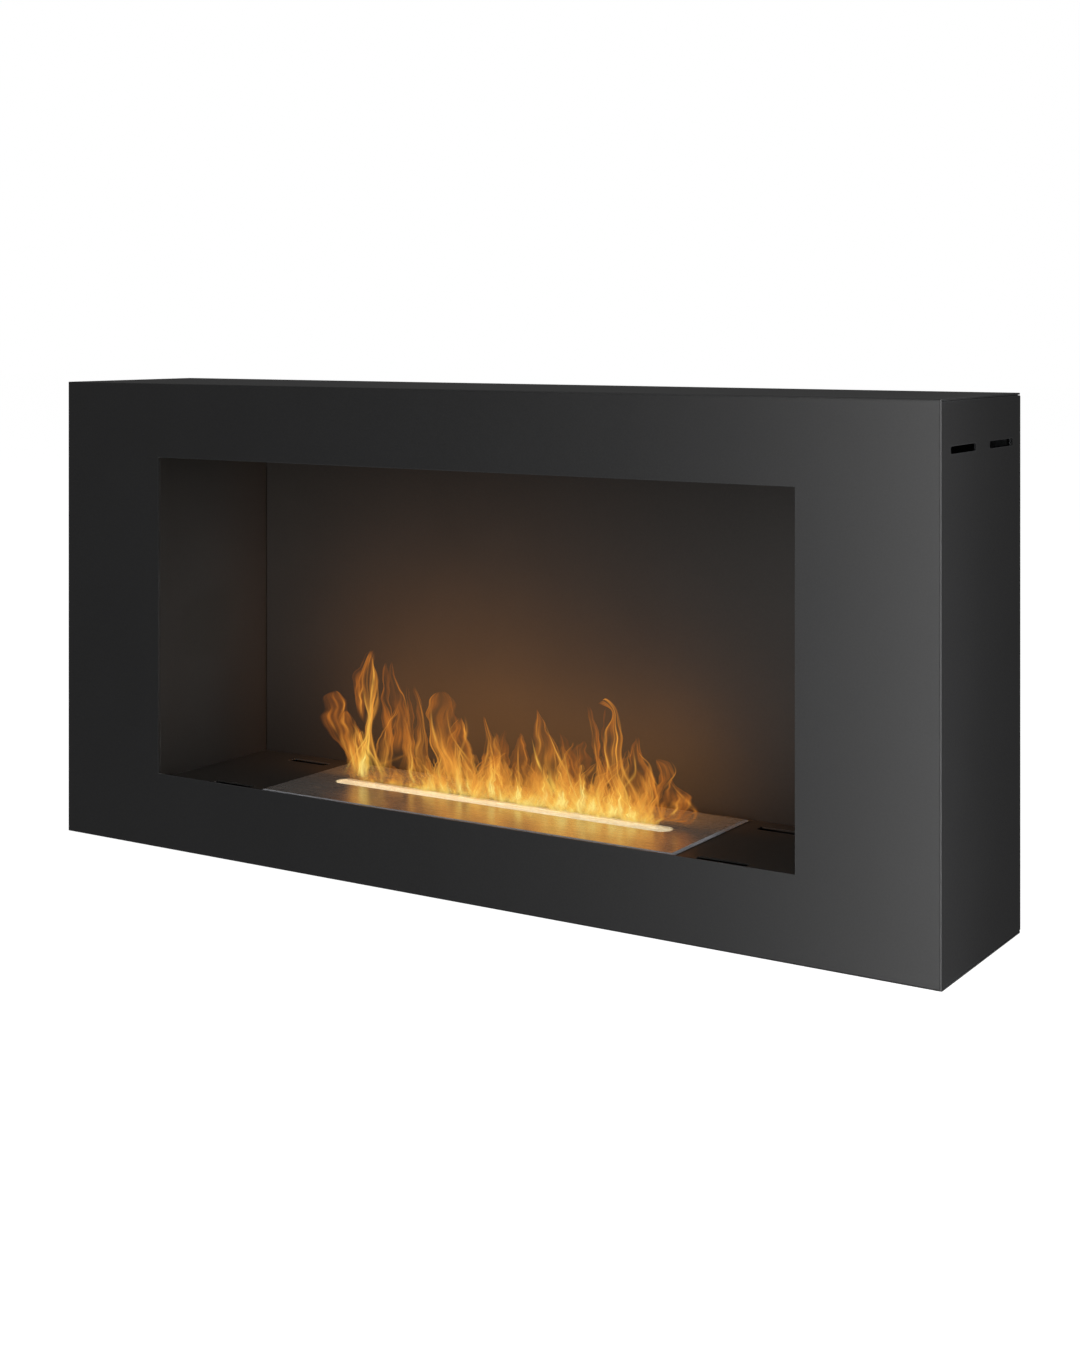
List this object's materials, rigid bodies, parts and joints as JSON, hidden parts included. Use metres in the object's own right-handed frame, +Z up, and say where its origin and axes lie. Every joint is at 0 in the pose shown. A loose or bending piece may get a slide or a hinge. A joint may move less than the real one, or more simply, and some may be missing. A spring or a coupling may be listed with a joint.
{
  "type": "wall-hung bio-ethanol fireplace",
  "caption": "Black folded-steel wall fireplace with an open firebox, a lift-out burner with a long ceramic-wool slot, side vents and a hook-over wall rail.",
  "frame": {"origin": "under the middle of the case, on the plane of its base", "axes": "+X to the right seen from the front, +Y back to the wall, +Z up; the front faces -Y"},
  "size_m": [0.9, 0.177, 0.44],
  "materials": {
    "case_black": "fine-textured matt black powder coat",
    "liner_black": "matt black heat-resistant paint",
    "galvanised_steel": "galvanised, faint spangle",
    "brushed_stainless": "brushed along its length",
    "zinc_fastener": "zinc plated, satin",
    "ceramic_wool": "fibrous, matt, lit by the flames",
    "rubber": "matt",
    "flame": "luminous flame, visual only"
  },
  "bodies": {
    "case": {"back_rivet_1": "zinc_fastener", "back_rivet_2": "zinc_fastener", "back_rivet_3": "zinc_fastener", "back_rivet_4": "zinc_fastener", "firebox_back": "liner_black", "firebox_floor": "liner_black", "firebox_roof": "liner_black", "firebox_wall_left": "liner_black", "firebox_wall_right": "liner_black", "floor_bearer_left": "galvanised_steel", "floor_bearer_right": "galvanised_steel", "hanger_rail": "galvanised_steel", "liner_nut_1": "zinc_fastener", "liner_nut_2": "zinc_fastener", "liner_nut_3": "zinc_fastener", "liner_nut_4": "zinc_fastener", "liner_nut_5": "zinc_fastener", "liner_nut_6": "zinc_fastener", "liner_nut_7": "zinc_fastener", "liner_nut_8": "zinc_fastener", "outer_case": "case_black", "rear_panel": "case_black", "rear_post_left": "galvanised_steel", "rear_post_right": "galvanised_steel", "rear_screw_1": "zinc_fastener", "rear_screw_2": "zinc_fastener", "rear_screw_3": "zinc_fastener", "rear_screw_4": "zinc_fastener", "rear_screw_5": "zinc_fastener", "rear_screw_6": "zinc_fastener", "roof_heat_shield": "galvanised_steel", "safety_tray": "galvanised_steel", "wall_bumper_left": "rubber", "wall_bumper_right": "rubber"},
    "burner": {"burner_plate": "brushed_stainless", "burner_tank": "brushed_stainless", "wool_bed": "ceramic_wool", "wool_strip_long": "ceramic_wool", "wool_strip_short": "ceramic_wool"},
    "wall_bracket": {"wall_bracket": "galvanised_steel"}
  },
  "joints": [
    {"name": "burner_lift", "type": "slide", "parent": "case", "child": "burner", "axis": [0, 0, 1], "range_m": [0, 0.12]},
    {"name": "bracket_shift", "type": "slide", "parent": "case", "child": "wall_bracket", "axis": [1, 0, 0], "range_m": [-0.02, 0.02]}
  ]
}
